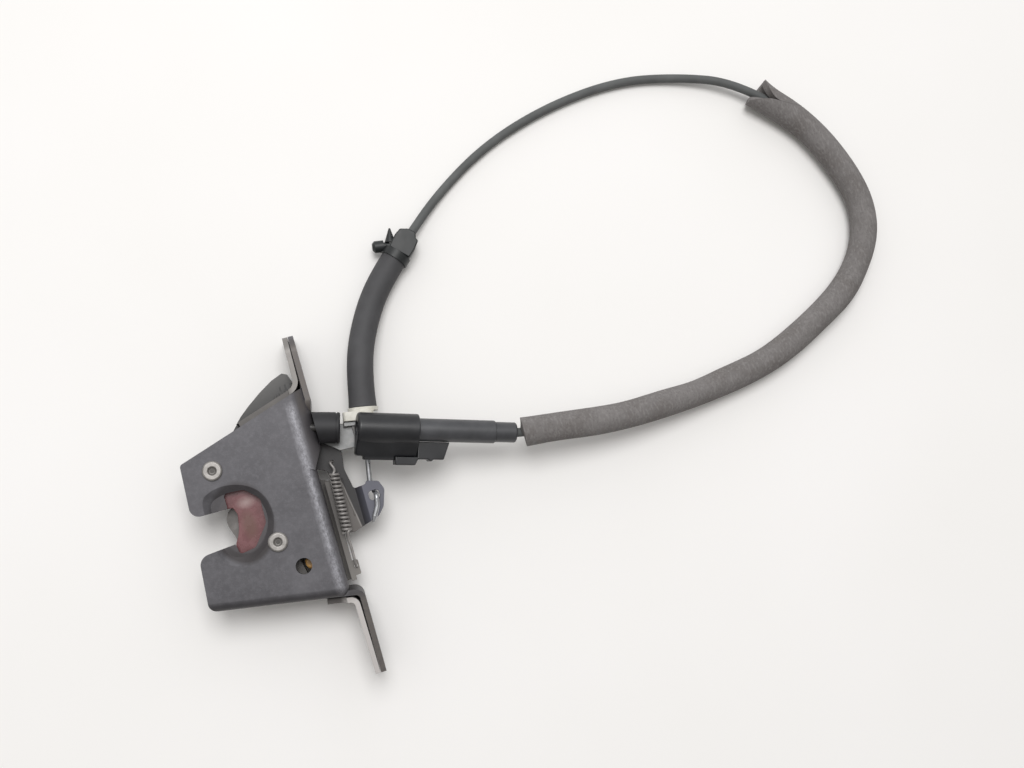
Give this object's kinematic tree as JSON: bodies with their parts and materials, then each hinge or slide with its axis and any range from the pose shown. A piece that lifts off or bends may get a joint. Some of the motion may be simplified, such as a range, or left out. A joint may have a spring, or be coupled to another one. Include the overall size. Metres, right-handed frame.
{
  "type": "seat backrest latch",
  "caption": "Pressed-steel fork latch with turning claw, pawl lever and return spring, two bolt ears, and a release cable that ends in a moulded coupling.",
  "frame": {"origin": "midway between the two ear holes, on the mounting face", "axes": "+X out of the mounting face, away from the throat; +Y from the lower ear to the upper ear; +Z from the rear cover to the front plate"},
  "size_m": [0.3471, 0.2298, 0.0358],
  "materials": {
    "plate_coat": "dark grey satin coat on pressed steel",
    "rear_coat": "passivated sheet steel",
    "cover_black": "moulded, fine grain",
    "rivet_steel": "passivated steel",
    "claw_steel": "blanked steel",
    "claw_skin": "red-brown moulded skin",
    "stop_amber": "translucent amber rubber",
    "spring_steel": "drawn spring wire",
    "lever_steel": "dark zinc-coated steel",
    "buffer_black": "moulded rubber",
    "bracket_steel": "zinc-coated steel",
    "fitting_white": "natural nylon",
    "rod_steel": "bright drawn wire",
    "conduit_black": "extruded jacket",
    "hose_black": "smooth extruded hose",
    "clip_black": "moulded nylon",
    "foam_grey": "soft foam with a fine grain",
    "coupling_black": "moulded nylon",
    "barrel_black": "moulded nylon"
  },
  "bodies": {
    "housing": {"front_plate": "plate_coat", "rear_case": "rear_coat", "rear_cover": "cover_black", "claw_rivet": "rivet_steel", "pawl_rivet": "rivet_steel", "claw_bush": "rivet_steel", "pawl_bush": "rivet_steel", "claw_stop": "stop_amber", "claw_spring": "spring_steel", "lever_spring": "spring_steel", "buffer_sleeve": "buffer_black", "buffer_stud": "rivet_steel", "cable_bracket": "bracket_steel", "conduit_fitting": "fitting_white", "cable_conduit": "conduit_black", "hose_sleeve": "hose_black", "cable_clip": "clip_black", "foam_sleeve": "foam_grey", "coupling_body": "coupling_black", "coupling_lock": "coupling_black", "coupling_barrel": "barrel_black", "barrel_tip": "barrel_black"},
    "claw": {"claw_core": "claw_steel", "claw_overmould": "claw_skin"},
    "lever": {"pawl_lever": "lever_steel"},
    "rod": {"cable_rod": "rod_steel"},
    "slider": {"coupling_slider": "rod_steel"}
  },
  "joints": [
    {"name": "claw_turn", "type": "hinge", "parent": "housing", "child": "claw", "pos_m": [-0.0286, -0.0086, 0.004], "axis": [0, 0, -1], "range_deg": [0, 30], "stiffness_Nm_per_rad": 0.1, "springref_deg": -11.46},
    {"name": "pawl_turn", "type": "hinge", "parent": "housing", "child": "lever", "pos_m": [-0.0466, 0.0273, 0.002], "axis": [0, 0, 1], "range_deg": [0, 8], "stiffness_Nm_per_rad": 0.3, "springref_deg": -5.73, "deforming": ["lever_spring"]},
    {"name": "rod_pull", "type": "slide", "parent": "housing", "child": "rod", "axis": [0.1799, 0.9837, 0], "range_m": [0, 0.0095]},
    {"name": "slider_pull", "type": "slide", "parent": "housing", "child": "slider", "axis": [-0.949, 0.2932, 0.1161], "range_m": [0, 0.0095]}
  ],
  "couplings": [
    {"joint": "rod_pull", "follows": "pawl_turn", "m_per_rad": 0.0666},
    {"joint": "slider_pull", "follows": "pawl_turn", "m_per_rad": 0.0666}
  ]
}
